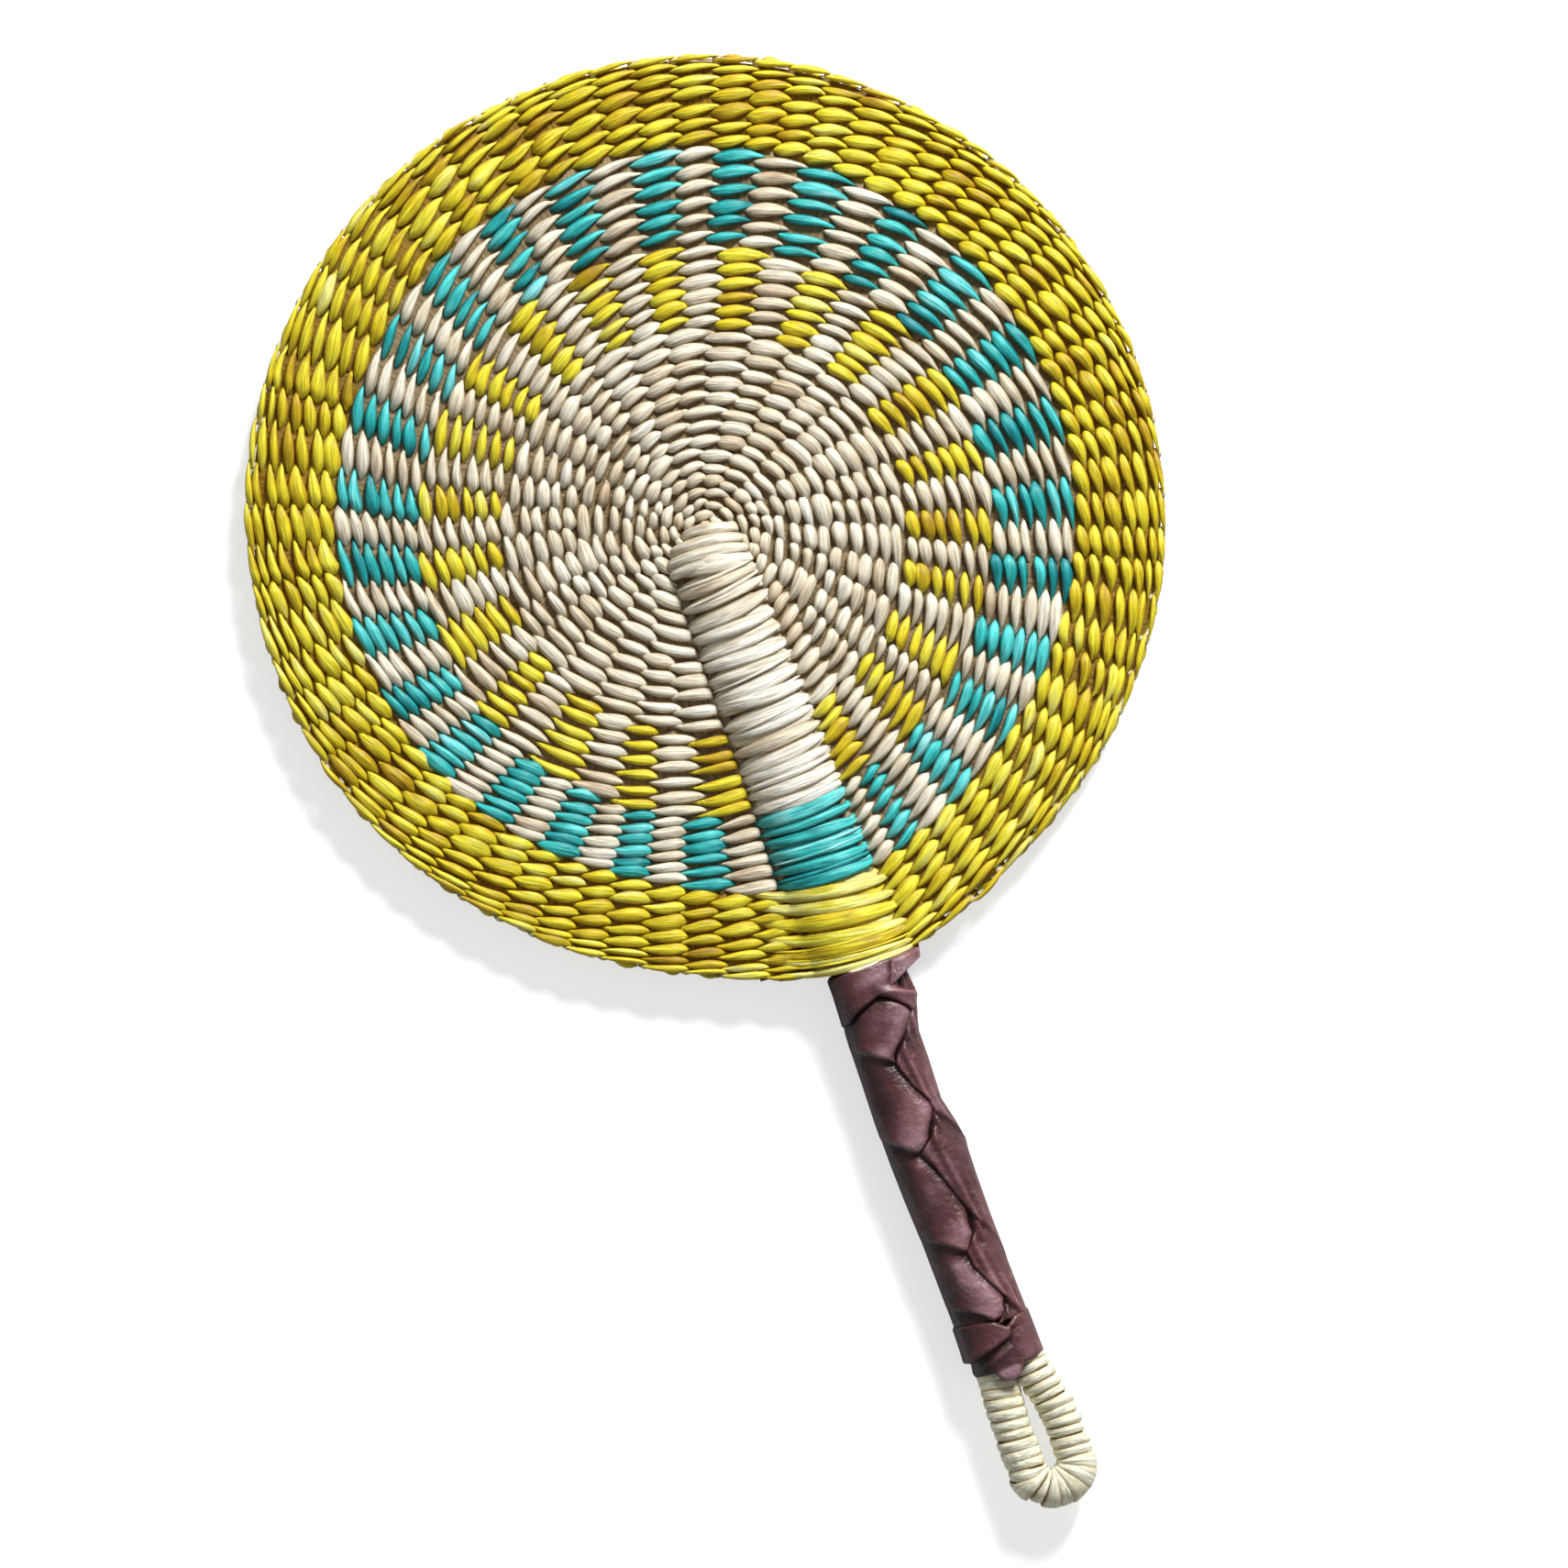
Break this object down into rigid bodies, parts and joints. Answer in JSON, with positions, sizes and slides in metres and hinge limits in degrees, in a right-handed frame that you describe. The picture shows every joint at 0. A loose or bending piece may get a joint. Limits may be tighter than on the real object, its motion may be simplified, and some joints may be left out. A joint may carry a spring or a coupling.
{
  "type": "woven hand fan",
  "caption": "Round hand fan twined from natural, yellow and teal straw over folded spokes, on a straw core handle with a laced leather grip and a wound straw hanging loop.",
  "frame": {"origin": "under the middle of the whole fan, on the table it lies on", "axes": "+Z out of the fan's front face, +Y from the hanging loop to the top of the disc, +X to the right seen from the front"},
  "size_m": [0.2625, 0.4302, 0.0171],
  "materials": {
    "straw_natural": "dry straw, satin",
    "weave_natural": "natural straw, satin with dark gaps",
    "weave_yellow_dash": "natural and yellow dyed straw, satin",
    "weave_teal_dash": "natural and teal dyed straw, satin",
    "weave_yellow": "yellow dyed straw, satin",
    "straw_pale": "pale straw, slightly glossy",
    "leather_brown": "dark brown leather, worn satin"
  },
  "bodies": {
    "root": {"spoke_pair_01": "straw_natural", "spoke_pair_02": "straw_natural", "spoke_pair_03": "straw_natural", "spoke_pair_04": "straw_natural", "spoke_pair_05": "straw_natural", "spoke_pair_06": "straw_natural", "spoke_pair_07": "straw_natural", "spoke_pair_08": "straw_natural", "spoke_pair_09": "straw_natural", "spoke_pair_10": "straw_natural", "spoke_pair_11": "straw_natural", "spoke_pair_12": "straw_natural", "spoke_pair_13": "straw_natural", "spoke_pair_14": "straw_natural", "spoke_pair_15": "straw_natural", "spoke_pair_16": "straw_natural", "spoke_pair_17": "straw_natural", "spoke_pair_18": "straw_natural", "spoke_pair_19": "straw_natural", "spoke_pair_20": "straw_natural", "spoke_pair_21": "straw_natural", "spoke_pair_22": "straw_natural", "spoke_pair_23": "straw_natural", "spoke_pair_24": "straw_natural", "spoke_pair_25": "straw_natural", "spoke_pair_26": "straw_natural", "spoke_pair_27": "straw_natural", "spoke_pair_28": "straw_natural", "spoke_pair_29": "straw_natural", "spoke_pair_30": "straw_natural", "spoke_pair_31": "straw_natural", "spoke_pair_32": "straw_natural", "spoke_pair_33": "straw_natural", "spoke_pair_34": "straw_natural", "spoke_pair_35": "straw_natural", "spoke_pair_36": "straw_natural", "weft_center_natural": "weave_natural", "weft_yellow_dash": "weave_yellow_dash", "weft_teal_dash": "weave_teal_dash", "weft_yellow_border": "weave_yellow", "handle_core": "straw_natural", "leather_collar": "leather_brown", "leather_wrap_left": "leather_brown", "leather_wrap_right": "leather_brown", "leather_end_band": "leather_brown", "leather_tab": "leather_brown", "loop_core": "straw_natural", "loop_winding": "straw_pale"}
  },
  "joints": []
}
